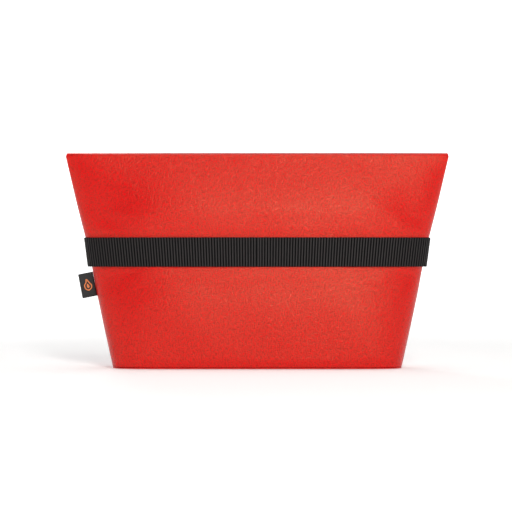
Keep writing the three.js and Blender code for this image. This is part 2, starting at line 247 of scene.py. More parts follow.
def make_piece(name, parts, material):
    """One object from several (vertices, faces, coordinates) parts, given in millimetres."""
    vertices, faces, coordinates, start = [], [], [], 0
    for part_vertices, part_faces, part_coordinates in parts:
        if signed_volume(part_vertices, part_faces) < 0:
            part_faces = part_faces[:, ::-1]
        vertices.append(part_vertices)
        faces.append(part_faces + start)
        coordinates.append(part_coordinates)
        start += len(part_vertices)
    mesh = bpy.data.meshes.new(name)
    mesh.from_pydata((np.concatenate(vertices) * MM).tolist(), [], np.concatenate(faces).tolist())
    cloth = mesh.attributes.new("cloth", "FLOAT_VECTOR", "POINT")
    cloth.data.foreach_set("vector", np.concatenate(coordinates).astype(np.float32).ravel())
    mesh.polygons.foreach_set("use_smooth", [True] * len(mesh.polygons))
    mesh.materials.append(material)
    mesh.update()
    return in_scene(name, mesh)


def place(piece, body, slot, *nodes):
    """The piece rides on a body and stands for CAD nodes, which it hides. The slot is not used."""
    if body:
        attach(piece, body)
    if nodes:
        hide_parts(*nodes)


def bead(rings, sides):
    """Points and faces of a round-ended bead of half-length and radius 1."""
    polar = np.linspace(0, math.pi, rings + 2)[1:-1]
    turn = np.linspace(0, 2 * math.pi, sides, endpoint=False)
    ring = np.stack(
        [
            np.repeat(np.cos(polar), sides),
            np.outer(np.sin(polar) ** 0.6, np.cos(turn)).ravel(),
            np.outer(np.sin(polar) ** 0.6, np.sin(turn)).ravel(),
        ],
        -1,
    )
    points = np.concatenate([[[1, 0, 0]], ring, [[-1, 0, 0]]])
    last = len(points) - 1
    faces = []
    for r in range(rings - 1):
        for k in range(sides):
            a, b = 1 + r * sides + k, 1 + r * sides + (k + 1) % sides
            faces.append((a, a + sides, b + sides, b))
    for k in range(0, sides, 2):
        a, b, c = 1 + k, 2 + k, 1 + (k + 2) % sides
        faces.append((0, a, b, c))
        base = 1 + (rings - 1) * sides
        faces.append((last, base + (k + 2) % sides, base + k + 1, base + k))
    return points, np.array(faces)


def capsules(centres, directions, ups, half_length, radius):
    """Small rounded beads, one for each stitch or tuft."""
    flatness = 0.7
    local, faces = bead(5, 8)
    across = unit(np.cross(ups, directions))
    axes = np.stack([unit(directions) * half_length, across * radius, unit(ups) * radius * flatness], 1)
    vertices = (centres[:, None] + np.einsum("pk,nkc->npc", local, axes)).reshape(-1, 3)
    count = len(centres)
    all_faces = (faces[None] + (np.arange(count) * len(local))[:, None, None]).reshape(-1, 4)
    return vertices, all_faces, np.tile(local * [half_length, radius, radius], (count, 1))


def stitches(path, normals, pitch=3.2, length=2.5, radius=0.34):
    """A row of lockstitches along a path, each sunk a little into the cloth."""
    along = arc_lengths(path, 0)
    count = max(int(along[-1] / pitch), 1)
    middles = (np.arange(count) + 0.5) * along[-1] / count

    def at(values, where):
        return np.stack([np.interp(where, along, values[:, k]) for k in range(3)], -1)

    directions = at(path, middles + 0.4) - at(path, middles - 0.4)
    return capsules(at(path, middles), directions, at(normals, middles), length / 2, radius)


def spread(count, low, high, edge=3):
    """Evenly spaced values with a few extra close to both ends, for a round rim."""
    inner = np.linspace(low, high, count)
    step = (high - low) / (count - 1)
    extra = step * np.linspace(0, 1, edge + 2)[1:-1] ** 2
    return np.sort(np.concatenate([inner, low + extra, high - extra]))


# ---- Materials ----


class Shader:
    """A node material under construction."""

    def __init__(self, name, **surface):
        self.material = bpy.data.materials.new(name)
        self.material.use_nodes = True
        self.tree = self.material.node_tree
        self.surface = self.tree.nodes["Principled BSDF"]
        for socket, value in surface.items():
            self.surface.inputs[socket.replace("_", " ")].default_value = value

    def node(self, kind, *inputs, out=0, **settings):
        made = self.tree.nodes.new("ShaderNode" + kind)
        for name, value in settings.items():
            setattr(made, name, value)
        for socket, value in zip(made.inputs, inputs):
            if isinstance(value, bpy.types.NodeSocket):
                self.tree.links.new(value, socket)
            elif value is not None:
                socket.default_value = value
        return made.outputs[out]

    def math(self, operation, *inputs):
        return self.node("Math", *inputs, operation=operation)

    def cloth(self):
        """The cloth's own coordinates, in millimetres along and across it."""
        made = self.tree.nodes.new("ShaderNodeAttribute")
        made.attribute_name = "cloth"
        return made.outputs["Vector"]

    def streaks(self, length_mm, width_mm, lean):
        """Noise drawn out into streaks that lean this many degrees from the cloth's own length."""
        c, s = math.cos(math.radians(lean)), math.sin(math.radians(lean))
        cloth = self.cloth()
        directions = (c / length_mm, s / length_mm, 0), (-s / width_mm, c / width_mm, 0)
        axes = [self.node("VectorMath", cloth, d, out=1, operation="DOT_PRODUCT") for d in directions]
        noise = self.noise(self.node("CombineXYZ", *axes), 1.0, detail=2, roughness=0.6)
        return self.range(noise, 0.36, 0.64, 0.0, 1.0)

    def noise(self, vector, scale, detail=3, roughness=0.55):
        made = self.tree.nodes.new("ShaderNodeTexNoise")
        self.tree.links.new(vector, made.inputs["Vector"])
        made.inputs["Scale"].default_value = scale
        made.inputs["Detail"].default_value = detail
        made.inputs["Roughness"].default_value = roughness
        return made.outputs["Fac"]

    def mix(self, factor, a, b):
        made = self.tree.nodes.new("ShaderNodeMix")
        made.data_type = "RGBA"
        self.tree.links.new(factor, made.inputs[0])
        for socket, value in ((made.inputs[6], a), (made.inputs[7], b)):
            if isinstance(value, bpy.types.NodeSocket):
                self.tree.links.new(value, socket)
            else:
                socket.default_value = (*value, 1)
        return made.outputs[2]

    def range(self, value, low, high, to_low, to_high):
        return self.node("MapRange", value, low, high, to_low, to_high)

    def bump(self, height, strength, distance_mm, normal=None):
        made = self.tree.nodes.new("ShaderNodeBump")
        made.inputs["Strength"].default_value = strength
        made.inputs["Distance"].default_value = distance_mm * MM
        self.tree.links.new(height, made.inputs["Height"])
        if normal:
            self.tree.links.new(normal, made.inputs["Normal"])
        return made.outputs["Normal"]

    def join(self, **sockets):
        for name, value in sockets.items():
            self.tree.links.new(value, self.surface.inputs[name.replace("_", " ")])
        return self.material


def wave_along(shader, axis, length_mm):
    """A sine wave, -1 to 1, along one of the cloth's coordinates."""
    return shader.math("SINE", shader.math("MULTIPLY", axis, 2 * math.pi / length_mm))


def from_zero(shader, wave):
    """A -1 to 1 wave moved to the range 0 to 1."""
    return shader.math("MULTIPLY_ADD", wave, 0.5, 0.5)


def plain_weave(shader, pitch_mm):
    """Height of a plain weave, 0 to 1: over and under in turn along both threads."""
    along = shader.node("SeparateXYZ", shader.cloth())
    across = along.node.outputs[1]
    waves = [wave_along(shader, axis, 2 * pitch_mm) for axis in (along, across)]
    return from_zero(shader, shader.math("MULTIPLY", *waves))


def twill(shader, pitch_mm, slope=1.0):
    """Height of a twill's slanting ribs, 0 to 1."""
    along = shader.node("SeparateXYZ", shader.cloth())
    across = along.node.outputs[1]
    slanted = shader.math("MULTIPLY_ADD", across, slope, along)
    return from_zero(shader, wave_along(shader, slanted, pitch_mm))


def red_fabric():
    """Coated canvas: a fine plain weave under coarse, uneven threads that run both ways."""
    shader = Shader("red_coated_fabric", Specular_IOR_Level=0.33, Specular_Tint=(0.8, 1.0, 0.60, 1.0))
    weave = plain_weave(shader, 0.62)
    warp = shader.streaks(3.6, 1.3, 12)
    weft = shader.streaks(3.0, 1.1, 84)
    wide = shader.noise(shader.cloth(), 0.035, detail=2)
    slub = shader.math("MULTIPLY_ADD", warp, 0.55, shader.math("MULTIPLY", weft, 0.45))
    tone = shader.math("MULTIPLY_ADD", slub, 0.75, shader.math("MULTIPLY", weave, 0.25))
    colour = shader.mix(tone, (0.25, 0.0001, 0.0015), (0.88, 0.0050, 0.0090))
    colour = shader.mix(shader.range(wide, 0.3, 0.7, 0.0, 0.2), colour, (0.56, 0.0035, 0.0070))
    bumps = shader.bump(weave, 0.35, 0.10)
    bumps = shader.bump(slub, 0.8, 0.24, bumps)
    rough = shader.range(slub, 0.0, 1.0, 0.41, 0.22)
    return shader.join(Base_Color=colour, Normal=bumps, Roughness=rough)


def black_webbing():
    """Ribs with a soft shine on their crests and rougher grooves between them. Their colour has painted
    shade, near black in the grooves, and painted light, lighter on the crests.
    """
    shader = Shader("black_ribbed_webbing", Specular_IOR_Level=0.11)
    along = shader.node("SeparateXYZ", shader.cloth())
    across, crest = along.node.outputs[1:3]
    warp = from_zero(shader, wave_along(shader, across, 0.95))
    fibre = shader.noise(shader.cloth(), 2.4, detail=4, roughness=0.7)
    fibre = shader.range(fibre, 0.3, 0.7, 0.0, 1.0)
    # Painted light and shade: the rib height darkens the colour to near black in the grooves and lightens it
    # on the rib tops. It also sets the roughness.
    high = shader.range(crest, 0.6, 0.98, 0.0, 1.0)
    tone = shader.math("MULTIPLY", shader.math("MULTIPLY_ADD", fibre, 0.45, 0.55), high)
    colour = shader.mix(tone, (0.0003, 0.0003, 0.0003), (0.040, 0.036, 0.037))
    bumps = shader.bump(warp, 0.5, 0.12)
    bumps = shader.bump(fibre, 0.3, 0.08, bumps)
    rough = shader.range(high, 0.0, 1.0, 0.92, 0.42)
    return shader.join(Base_Color=colour, Normal=bumps, Roughness=rough)


def woven_tape(name, dark, light, pitch_mm, roughness):
    """Narrow woven tape or embroidery with slanting ribs."""
    shader = Shader(name, Specular_IOR_Level=0.4)
    ribs = twill(shader, pitch_mm)
    fibre = shader.noise(shader.cloth(), 1.7, detail=4, roughness=0.7)
    tone = shader.math("MULTIPLY_ADD", ribs, 0.4, shader.math("MULTIPLY", fibre, 0.6))
    bumps = shader.bump(ribs, 0.5, 0.12)
    rough = shader.range(fibre, 0.3, 0.7, roughness - 0.08, roughness + 0.08)
    return shader.join(Base_Color=shader.mix(tone, dark, light), Normal=bumps, Roughness=rough)


def glass_cloth():
    """Pale, slightly glossy glass-fibre weave."""
    shader = Shader("glass_fibre_cloth", Specular_IOR_Level=0.55)
    weave = plain_weave(shader, 0.9)
    fibre = shader.noise(shader.cloth(), 1.2, detail=4, roughness=0.7)
    tone = shader.math("MULTIPLY_ADD", weave, 0.5, shader.math("MULTIPLY", fibre, 0.5))
    bumps = shader.bump(weave, 0.6, 0.15)
    rough = shader.range(fibre, 0.3, 0.7, 0.42, 0.62)
    colour = shader.mix(tone, (0.62, 0.58, 0.49), (0.86, 0.84, 0.77))
    return shader.join(Base_Color=colour, Normal=bumps, Roughness=rough)


def fuzzy_tape(name, dark, light):
    """Loop tape, with a soft sheen over its pile."""
    shader = Shader(name, Specular_IOR_Level=0.25, Sheen_Weight=0.25, Sheen_Roughness=0.5)
    fuzz = shader.noise(shader.cloth(), 2.2, detail=6, roughness=0.8)
    bumps = shader.bump(fuzz, 0.8, 0.3)
    rough = shader.range(fuzz, 0.3, 0.7, 0.75, 0.95)
    return shader.join(Base_Color=shader.mix(fuzz, dark, light), Normal=bumps, Roughness=rough)


def twisted_thread(name, dark, light):
    """Sewing thread, with its twist as slanting strands."""
    shader = Shader(name, Specular_IOR_Level=0.45)
    strands = twill(shader, 0.5, slope=0.9)
    bumps = shader.bump(strands, 0.6, 0.08)
    rough = shader.range(strands, 0.0, 1.0, 0.45, 0.6)
    return shader.join(Base_Color=shader.mix(strands, dark, light), Normal=bumps, Roughness=rough)


RED = red_fabric()
WEBBING_BLACK = black_webbing()
BINDING_BLACK = woven_tape("black_binding_tape", (0.006, 0.006, 0.006), (0.024, 0.022, 0.022), 1.1, 0.6)
TAPE_BLACK = woven_tape("black_pull_tape", (0.007, 0.007, 0.007), (0.030, 0.028, 0.028), 1.8, 0.58)
LABEL_BLACK = woven_tape("black_label_ribbon", (0.007, 0.007, 0.008), (0.022, 0.021, 0.021), 0.5, 0.45)
MARK_ORANGE = woven_tape("orange_embroidery", (0.55, 0.13, 0.03), (0.86, 0.30, 0.10), 0.55, 0.5)
GLASS = glass_cloth()
HOOK = woven_tape("black_hook_tape", (0.008, 0.008, 0.009), (0.026, 0.026, 0.027), 1.4, 0.5)
LOOP = fuzzy_tape("black_loop_tape", (0.007, 0.007, 0.007), (0.034, 0.033, 0.034))
THREAD = twisted_thread("black_thread", (0.012, 0.012, 0.012), (0.045, 0.043, 0.043))


# ---- Cloth panels ----


def side_shares(count):
    """Shares of the half-width from the left seam to the right one, closer together towards the seams."""
    t = np.linspace(0, 1, count)
    right = 1 - (1 - t) ** 2.4
    return np.concatenate([-right[:0:-1], right])


def relief(x, z, left, right, phase):
    """How far a panel sinks in (positive) from the smooth shape: dents of these depths beyond the pack's
    upper corners, smaller ones beyond its lower corners, a pinch under the strap with a lip on each side, and
    a gentle wander with drag wrinkles towards the seams."""
    middle = (STRAP_LOW + STRAP_HIGH) / 2
    share = x / half_width(z)
    corner_left = left * hump(x, -160, 36) * hump(z, 160, 28)
    corner_right = right * hump(x, 164, 30) * hump(z, 164, 26)
    low_corners = 1.6 * (hump(x, -150, 24) + 0.6 * hump(x, 152, 22)) * hump(z, 62, 34)
    pinch = 0.9 * hump(z, middle, 17)
    lips = -0.55 * (hump(z, STRAP_HIGH + 9, 7) + hump(z, STRAP_LOW - 10, 8))
    wander = 0.45 * np.sin(x / 31 + phase) * np.sin(z / 27 + 0.7 * phase + x / 90)
    wander = wander + 0.22 * np.sin(x / 13.7 + 2.1 * phase + z / 19)
    near_seams = smooth(np.abs(x), 95, 150), smooth(np.abs(x), 90, 145)
    drag = 0.5 * np.sin((x + 1.4 * z) / 8.5 + phase) * hump(z, STRAP_HIGH + 12, 14) * near_seams[0]
    drag = drag + 0.5 * np.sin((x - 1.5 * z) / 9.5) * hump(z, STRAP_LOW - 14, 16) * near_seams[1]
    free = (1 - np.abs(share) ** 10) * smooth(z, 2, 16) * (1 - smooth(z, FOLD_Z - 8, FOLD_Z))
    return (corner_left + corner_right + low_corners + pinch + lips + wander + drag) * free


def free_edge(count):
    """The flap's free edge from its right end to its left end: each point's share of the edge's length, the
    point and its outward direction, both as X and Z."""
    corner_z = FLAP_FREE_Z + FLAP_CORNER
    side_x, flat_x, top_z = FLAP_LOW_HALF + 4, FLAP_LOW_HALF - FLAP_CORNER, FOLD_Z - 3
    t = np.linspace(0, 1, 40)[:, None]
    corner = np.array([[side_x, corner_z], [FLAP_LOW_HALF, FLAP_FREE_Z], [flat_x, FLAP_FREE_Z]], float)
    bend = (1 - t) ** 2 * corner[0] + 2 * t * (1 - t) * corner[1] + t * t * corner[2]
    top = np.array([[FLAP_TOP_HALF, top_z]], float)
    right = np.concatenate([top + (corner[0] - top) * np.linspace(0, 1, 40)[:-1, None], bend])
    path = np.concatenate([right, (right * [-1, 1])[::-1]])
    along = arc_lengths(path, 0)
    at = np.linspace(0, along[-1], 4 * count)
    dense = np.stack([np.interp(at, along, path[:, k]) for k in range(2)], -1)
    tangent = unit(np.gradient(dense, axis=0))
    reach = 4
    window = np.ones(2 * reach + 1) / (2 * reach + 1)
    padded = np.pad(tangent, ((reach, reach), (0, 0)), "edge")
    soft = np.stack([np.convolve(padded[:, k], window, "valid") for k in range(2)], -1)
    return at / along[-1], dense, unit(np.stack([-soft[:, 1], soft[:, 0]], -1))


EDGE_AT, EDGE_PATH, EDGE_OUT = free_edge(200)


def edge_point(where, outward):
    """X and Z at a share of the free edge's length, moved outwards."""
    point = np.stack([np.interp(where, EDGE_AT, EDGE_PATH[:, k]) for k in range(2)], -1)
    direction = np.stack([np.interp(where, EDGE_AT, EDGE_OUT[:, k]) for k in range(2)], -1)
    return point + direction * np.asarray(outward)[..., None]


def flap_y(x, z):
    """The flap's middle surface, with a slight wave in its free edge."""
    loose = 1 - smooth(z, 176, 205)
    wave = 0.35 * np.sin(x / 24 + 0.6) + 0.2 * np.sin(x / 11)
    return depth_at(x, z) + FLAP_LIFT + CLOTH / 2 + (wave + FLAP_WAVE_LIFT) * loose


def front_and_flap():
    """The front panel, the fold over the mouth and the flap down the back, as one cloth."""
    shares = side_shares(81)
    rows = []
    for z in spread(84, PANEL_FOOT, FOLD_Z, 2)[:-1]:
        x, y = arch(shares, z, -CLOTH / 2)
        rows.append(np.stack([x, relief(x, z, 5.5, 3.0, 0.4) - y, np.full_like(x, z)], -1))
    turns = np.linspace(0, math.pi / 2, 9)
    x, y = arch(shares, FOLD_Z, -CLOTH / 2)
    flap_x = FLAP_TOP_HALF * shares
    for turn in turns:
        across = x + (flap_x - x) * turn / math.pi
        z = FOLD_Z + (FOLD_RISE - CLOTH / 2) * math.sin(turn)
        rows.append(np.stack([across, FOLD_Y - (y + FOLD_Y) * math.cos(turn), np.full_like(x, z)], -1))
    back = flap_y(flap_x, np.full_like(x, FOLD_Z))
    for turn in turns[1:]:
        across = (x + flap_x) / 2 + (flap_x - x) * turn / math.pi
        z = FOLD_Z + (FOLD_RISE - CLOTH / 2) * math.cos(turn)
        rows.append(np.stack([across, FOLD_Y + (back - FOLD_Y) * math.sin(turn), np.full_like(x, z)], -1))
    edge = edge_point((1 - shares) / 2, np.full_like(shares, FLAP_EDGE))
    for drop in spread(22, 0, 1, 2)[1:]:
        across = flap_x + (edge[:, 0] - flap_x) * drop
        z = FOLD_Z + (edge[:, 1] - FOLD_Z) * drop
        rows.append(np.stack([across, flap_y(across, z), z], -1))
    piece = make_piece("front_and_flap_cloth", [shell(np.array(rows), CLOTH)], RED)
    place(piece, None, "red_fabric", "front_panel", "closing_flap")
    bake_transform(piece)


def back_cloth():
    shares = side_shares(81)
    rows = []
    for z in spread(84, PANEL_FOOT, MOUTH_Z, 2):
        x, y = arch(shares, z, -CLOTH / 2)
        rows.append(np.stack([x, y - relief(x, z, 2.0, 2.0, 2.3), np.full_like(x, z)], -1))
    piece = make_piece("back_cloth", [shell(np.array(rows), CLOTH)], RED)
    place(piece, "pouch", "red_fabric", "back_panel")


def base_cloth():
    thickness = box_mm("base_panel")[1][2]
    shares = side_shares(61)
    x, y = arch(shares, PANEL_FOOT, -0.1)
    columns = spread(25, -1, 1, 3)
    grid = np.stack(np.broadcast_arrays(x[:, None], y[:, None] * columns, thickness / 2), -1)
    piece = make_piece("base_cloth", [shell(grid.copy(), thickness)], RED)
    place(piece, "pouch", "red_fabric", "base_panel")


# ---- Bindings and closures on the pouch ----


def hairpin(inside, inside_z, outside, outside_z, top, leg_steps=30, turn_steps=13):
    """A path of (offset, z) up at one offset, over and down at the other."""
    radius, middle = (outside - inside) / 2, (outside + inside) / 2
    turn = np.linspace(0, math.pi, turn_steps)
    up = np.linspace(inside_z, top, leg_steps)[:-1]
    down = np.linspace(top, outside_z, leg_steps)[1:]
    over = np.stack([middle - radius * np.cos(turn), top + radius * np.sin(turn)], -1)
    rise = np.stack([np.full_like(up, inside), up], -1)
    fall = np.stack([np.full_like(down, outside), down], -1)
    return np.concatenate([rise, over, fall])


def over_mouth(path, low_x, high_x, across):
    """A grid that carries a (offset, z) path over the back panel's top edge, from one X to another."""
    x = spread(across, low_x, high_x)
    return on_back(x[None], path[:, 0][:, None], path[:, 1][:, None])


def mouth_binding():
    """Tape folded over the back panel's top edge."""
    reach = CLOTH + 2 * TOUCH + BINDING / 2
    low, high = box_mm("mouth_binding")
    path = hairpin(-reach, low[2], reach - CLOTH, low[2], MOUTH_Z, 12)
    grid = over_mouth(path, low[0], high[0], 120)
    piece = make_piece("mouth_binding_tape", [shell(grid, BINDING)], BINDING_BLACK)
    place(piece, "pouch", "binding", "mouth_binding")


def seam_binding(side, node):
    """Tape folded round the side seam's allowance, inside the pouch."""
    gap, tape_half, reach = 0.5, 0.62, 8.2
    low, high = box_mm(node)
    z = np.linspace(low[2], high[2], 60)
    bend = hairpin(-tape_half, 0, tape_half, 0, reach, 8, 9)
    x = side * (half_width(z)[:, None] - CLOTH - gap - bend[:, 1])
    y = bend[:, 0] + 0.15 * np.sin(z / 9)[:, None]
    grid = np.stack(np.broadcast_arrays(x, y, z[:, None]), -1)
    piece = make_piece(node.replace("binding", "tape"), [shell(grid.copy(), BINDING)], BINDING_BLACK)
    place(piece, "pouch", "binding", node)


def base_binding():
    """Tape folded over the base seam's allowance, all round the inside."""
    gap, tape_half = 1.1, 0.55
    low, high = box_mm("base_seam_binding")
    turn = np.linspace(0, 2 * math.pi, 241)
    foot, top = low[2] + 0.1, high[2] - 0.9
    rise = hairpin(-tape_half, foot, tape_half, foot, top, 6, 9)
    offset = -CLOTH - gap - rise[:, 0]
    c, s = np.cos(turn)[:, None], np.sin(turn)[:, None]
    share = np.sign(c) * np.abs(c) ** (2 / between(WIDTH_POWER, low[2]))
    deep = through(HALF_DEPTH, low[2]) + offset[None]
    x = (half_width(low[2]) + offset[None]) * share
    y = deep * np.sign(s) * np.abs(s) ** (2 / between(DEPTH_POWER, low[2]))
    grid = np.stack(np.broadcast_arrays(x, y, rise[:, 1][None]), -1)
    piece = make_piece("base_seam_tape", [shell(grid.copy(), BINDING * 0.9)], BINDING_BLACK)
    place(piece, "pouch", "binding", "base_seam_binding")


def flap_edge_binding():
    """Tape folded round the flap's free edge, with a row of stitches through it."""
    where = spread(300, 0.012, 0.988)
    reach = CLOTH / 2 + TOUCH + BINDING / 2
    bend = hairpin(-reach, -EDGE_TAPE_REACH, reach, -EDGE_TAPE_REACH, FLAP_EDGE + 0.1, 9, 11)
    flat = edge_point(where[:, None], bend[:, 1][None])
    y = flap_y(flat[..., 0], flat[..., 1]) + bend[:, 0]
    grid = np.stack([flat[..., 0], y, flat[..., 1]], -1)
    piece = make_piece("flap_edge_tape", [shell(grid, BINDING)], BINDING_BLACK)
    place(piece, "flap", "binding", "flap_binding")
    count, inset = 500, 6
    line = edge_point(np.linspace(0.02, 0.98, count), np.full(count, FLAP_EDGE - inset))
    rows = []
    for side in (-1, 1):
        y = flap_y(line[:, 0], line[:, 1]) + side * (reach + BINDING / 2)
        path = np.stack([line[:, 0], y, line[:, 1]], -1)
        rows.append(stitches(path, np.tile([0, side, 0.35 * side], (count, 1))))
    place(make_piece("flap_edge_stitches", rows, THREAD), "flap", "thread")


def tufts(surface, length, width, base, hooked):
    """Hooks or loops in rows on a tape whose own face is at height base. They lean at random."""
    step, disorder = (1.5, 0.35) if hooked else (1.1, 1.6)
    first, last = 3.2, 2.8
    columns = np.arange(first, length - last, step)
    rows_a, rows_b = np.meshgrid(columns, np.arange(first, width - last, step), indexing="ij")
    sway = rng.normal(0, 0.12, (2, *rows_a.shape))
    rows_a, rows_b = rows_a.ravel() + sway[0].ravel(), rows_b.ravel() + sway[1].ravel()
    foot, tip = surface(rows_a, rows_b, base), surface(rows_a, rows_b, base + 1)
    up = unit(tip - foot)
    lean = unit(rng.normal(0, 1, up.shape)) * disorder
    ups = unit(rng.normal(0, 1, up.shape))
    height = (CLOSURE_TAPE - base) / 2
    return capsules(foot + up * height * 0.8, up + lean, ups, height * 1.1, 0.2)


def border_stitches(surface, length, width, base):
    """A row of stitches round a tape, a little in from its edges."""
    inset = 1.6
    right, top = length - inset, width - inset
    corners = [(inset, inset), (right, inset), (right, top), (inset, top)]
    line = []
    for start, end in zip(corners, corners[1:] + corners[:1]):
        t = np.linspace(0, 1, 60)[:, None]
        line.append(np.array(start) * (1 - t) + np.array(end) * t)
    a, b = np.concatenate(line).T
    path = surface(a, b, base)
    return stitches(path, unit(surface(a, b, base + 1) - path))


def closure(name, surface, length, width, material, hooked):
    """A strip of hook or loop tape and its stitching. surface(a, b, n) is the point a along it, b across it
    and n off the face that it is sewn to."""
    a = spread(max(int(length / 3), 8), 0, length)
    b = spread(max(int(width / 2.5), 6), 0, width)
    base = CLOSURE_TAPE * (0.45 if hooked else 0.75)
    tape = shell(surface(a[:, None], b[None], base / 2), base)
    pile = tufts(surface, length, width, base, hooked)
    sewing = border_stitches(surface, length, width, base)
    return make_piece(name, [tape, pile], material), make_piece(name + "_stitches", [sewing], THREAD)


def flap_closure():
    """The loop strip on the pouch and the hook strip under the flap."""
    low, high = box_mm("pouch_loop_strip")
    length, width = high[0] - low[0], high[2] - low[2]

    def on_pouch(a, b, n):
        return on_back(low[0] + a, TOUCH + n, low[2] + b)

    def on_flap(a, b, n):
        x, z = np.broadcast_arrays(low[0] + a, low[2] + b)
        return np.stack([x, flap_y(x, z) - CLOTH / 2 - TOUCH - n, z], -1)

    loop, loop_thread = closure("flap_loop_tape", on_pouch, length, width, LOOP, False)
    place(loop, "pouch", "loop_tape", "pouch_loop_strip")
    place(loop_thread, "pouch", "thread")
    hook, hook_thread = closure("flap_hook_tape", on_flap, length, width, HOOK, True)
    place(hook, "flap", "hook_tape", "flap_hook_strip")
    place(hook_thread, "flap", "thread")


# ---- Strap ----


def strap_section(degrees, h, offset):
    """A point on the strap: h from its lower to its upper edge, offset outwards from the pouch's fabric."""
    degrees, h, offset = np.broadcast_arrays(*(np.asarray(a, float) for a in (degrees, h, offset)))
    angle = np.radians(degrees)
    half_x = (half_width(STRAP_LOW) + STRAP_STAND_OFF) * (1 - h) + half_width(STRAP_HIGH) * h + offset
    half_y = through(HALF_DEPTH, STRAP_LOW) * (1 - h) + through(HALF_DEPTH, STRAP_HIGH) * h + offset
    c, s = np.cos(angle), np.sin(angle)
    x = half_x * np.sign(c) * np.abs(c) ** (2 / between(WIDTH_POWER, STRAP_LOW))
    y = half_y * np.sign(s) * np.abs(s) ** (2 / between(DEPTH_POWER, STRAP_LOW))
    return np.stack([x, y, STRAP_LOW + (STRAP_HIGH - STRAP_LOW) * h], -1)


DEGREES = np.linspace(TAIL_HINGE - 10, TAIL_HINGE + 365, 6000)
STRAP_ARC = arc_lengths(strap_section(DEGREES, 0.5, 1.0), 0)


def arc_of(degrees):
    return np.interp(degrees, DEGREES, STRAP_ARC)


def degrees_of(arc):
    return np.interp(arc, STRAP_ARC, DEGREES)


def webbing(path):
    """Ribbed webbing along a path of (arc, offset): a shell whose thickness rises and falls with its ribs.
    Its third cloth coordinate is 1 on a rib and 0 in a groove. The webbing's material uses it to paint shade
    into the grooves and light onto the rib tops."""
    along = arc_lengths(path, 0)
    points_per_rib = 7
    count = int(along[-1] / RIB_PITCH) * points_per_rib
    rim, inner = np.array([0.05, 0.2]), 0.45
    at = np.concatenate([rim, np.linspace(inner, along[-1] - inner, count), along[-1] - rim[::-1]])
    arc, offset = (np.interp(at, along, path[:, k]) for k in range(2))
    h = np.concatenate([[0, 0.006, 0.018, 0.04], np.linspace(0.07, 0.93, 11), [0.96, 0.982, 0.994, 1]])
    rib = np.abs(np.cos(math.pi * at / RIB_PITCH)) ** 0.7
    edge = smooth(np.minimum(h, 1 - h), 0.0, 0.05)
    thickness = WEBBING - RIB_DEPTH * (1 - rib)[:, None] * (0.35 + 0.65 * edge)[None]
    scallop = 0.004 * (rib[:, None] - 0.5) * (1 - 2 * h[None]) * (1 - smooth(np.minimum(h, 1 - h), 0, 0.06))
    points = strap_section(degrees_of(arc)[:, None], h[None] - scallop, offset[:, None])
    vertices, faces, coordinates = shell(points, thickness, rim=0.5)
    # The rib height, from which the material paints shade in the grooves and light on the rib tops.
    coordinates[:, 2] = np.tile(np.repeat(rib, len(h)), 2)
    return vertices, faces, coordinates


def strap_band():
    """The part of the strap that is sewn to the pouch and runs round its front."""
    offset = STRAP_GAP + WEBBING / 2
    ends = arc_of(BAND_END), arc_of(360 + TAIL_HINGE)
    path = np.array([[a, offset] for a in np.linspace(*ends, 400)])
    piece = make_piece("strap_band_webbing", [webbing(path)], WEBBING_BLACK)
    place(piece, "pouch", "black_webbing", "strap_band")


def tail_offset(degrees):
    """The tail's middle surface, which climbs onto the band's own end."""
    return STRAP_GAP + WEBBING / 2 + TAIL_LIFT * smooth(degrees, CLIMB_FROM, CLIMB_TO)


def strap_tail():
    """The tail, which turns back on itself at its end and is stitched there as a grip."""
    radius = (WEBBING + 0.3) / 2
    end = arc_of(TAIL_END) - radius - WEBBING / 2
    arc = np.linspace(arc_of(TAIL_HINGE), end, 300)
    flat = np.stack([arc, tail_offset(degrees_of(arc))], -1)
    top = flat[-1, 1]
    turn = np.linspace(0, math.pi, 12)[1:-1]
    bend = np.stack([end + radius * np.sin(turn), top + radius * (1 - np.cos(turn))], -1)
    back = np.linspace(end, arc_of(GRIP_FROM), 40)
    path = np.concatenate([flat, bend, np.stack([back, np.full_like(back, top + 2 * radius)], -1)])
    piece = make_piece("strap_tail_webbing", [webbing(path)], WEBBING_BLACK)
    place(piece, None, "black_webbing", "strap_tail", "tail_end_fold")
    start, stop = (strap_section(TAIL_HINGE + away, 0.5, 1.7) * MM for away in (-1.2, 1.2))
    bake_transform(piece)
    rows = []
    for share in (0.35, 0.62):
        degrees = GRIP_FROM + (TAIL_END - GRIP_FROM) * share
        h = np.linspace(0.07, 0.93, 40)
        outer = tail_offset(degrees) + 2 * radius + WEBBING / 2 - 0.1
        path = strap_section(degrees, h, outer)
        rows.append(stitches(path, strap_section(degrees, h, outer + 1) - path, pitch=2.6, length=2.0))
    place(make_piece("strap_grip_stitches", rows, THREAD), "strap_tail", "thread")


def strap_closure():
    """The loop patch on the band and the hook patch under the tail."""
    start, end = arc_of(PATCH_FROM), arc_of(PATCH_TO)
    margin = 0.08
    strap_width = STRAP_HIGH - STRAP_LOW
    width = strap_width * (1 - 2 * margin)
    band_face = STRAP_GAP + WEBBING
    tail_face = tail_offset((PATCH_FROM + PATCH_TO) / 2) - WEBBING / 2

    def on_band(a, b, n):
        return strap_section(degrees_of(start + a), margin + b / strap_width, band_face + n)

    def on_tail(a, b, n):
        return strap_section(degrees_of(start + a), margin + b / strap_width, tail_face - n)

    length = end - start
    loop, loop_thread = closure("strap_loop_tape", on_band, length, width, LOOP, False)
    place(loop, "pouch", "loop_tape", "band_loop_patch")
    place(loop_thread, "pouch", "thread")
    hook, hook_thread = closure("strap_hook_tape", on_tail, length, width, HOOK, True)
    place(hook, "strap_tail", "hook_tape", "tail_hook_patch")
    place(hook_thread, "strap_tail", "thread")


